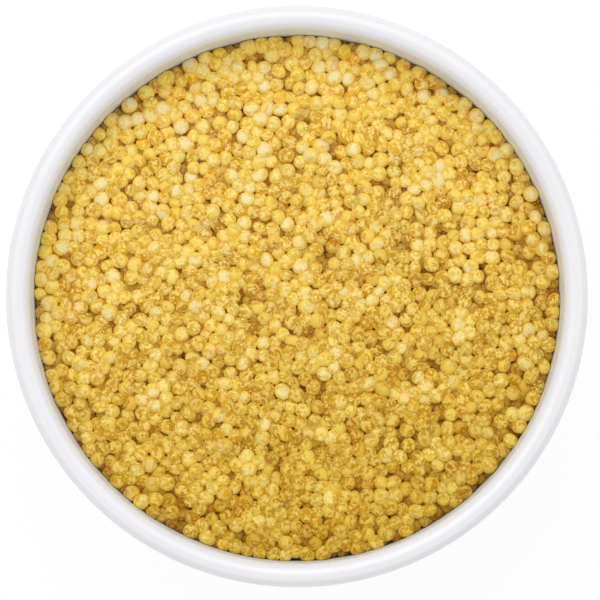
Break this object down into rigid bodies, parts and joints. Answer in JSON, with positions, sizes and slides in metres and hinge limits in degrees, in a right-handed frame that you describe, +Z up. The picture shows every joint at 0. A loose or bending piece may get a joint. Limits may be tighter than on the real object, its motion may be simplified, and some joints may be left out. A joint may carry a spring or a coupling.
{
  "type": "bowl of amaranth grain",
  "caption": "Small round white porcelain bowl with a foot ring, filled almost to its rim with small round golden grains.",
  "frame": {"origin": "middle of the foot ring, on the surface that the bowl stands on", "axes": "+Z up through the middle of the bowl, +Y towards the top of the picture, +X to its right"},
  "size_m": [0.055, 0.055, 0.026],
  "materials": {
    "porcelain": "white gloss glaze",
    "grain": "smooth translucent golden grain, some grains paler and chalky, some amber"
  },
  "bodies": {
    "root": {"bowl": "porcelain", "grain_heap": "grain"}
  },
  "joints": []
}
